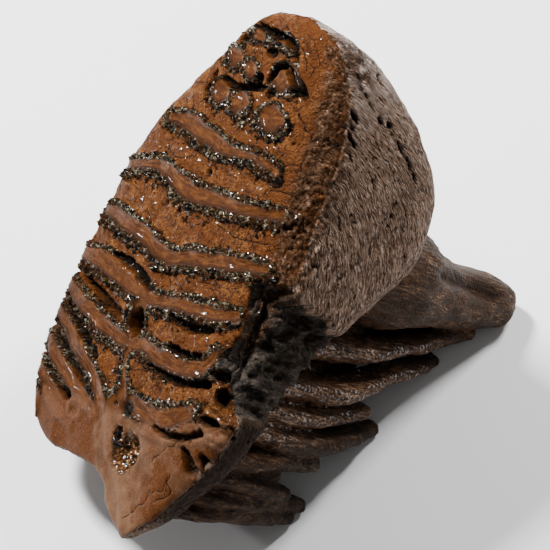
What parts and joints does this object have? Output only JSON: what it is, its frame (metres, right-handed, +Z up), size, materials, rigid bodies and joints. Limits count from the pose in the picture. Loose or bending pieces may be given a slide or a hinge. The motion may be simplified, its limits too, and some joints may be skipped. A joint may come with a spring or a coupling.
{
  "type": "fossil mammoth molar",
  "caption": "Fossil mammoth molar with a ridged, worn chewing face, a smooth cemented flank and root fingers that it rests on.",
  "frame": {"origin": "centre of the bounding box on the surface that the root ends rest on", "axes": "+Z up as the tooth rests, chewing face turned up and towards -Y and -X, back root towards +X"},
  "size_m": [0.165, 0.1474, 0.1416],
  "materials": {
    "fossil_tooth": "semi-gloss brown fossil dentine, enamel and cementum"
  },
  "bodies": {
    "root": {"mammoth_tooth": "fossil_tooth"}
  },
  "joints": []
}
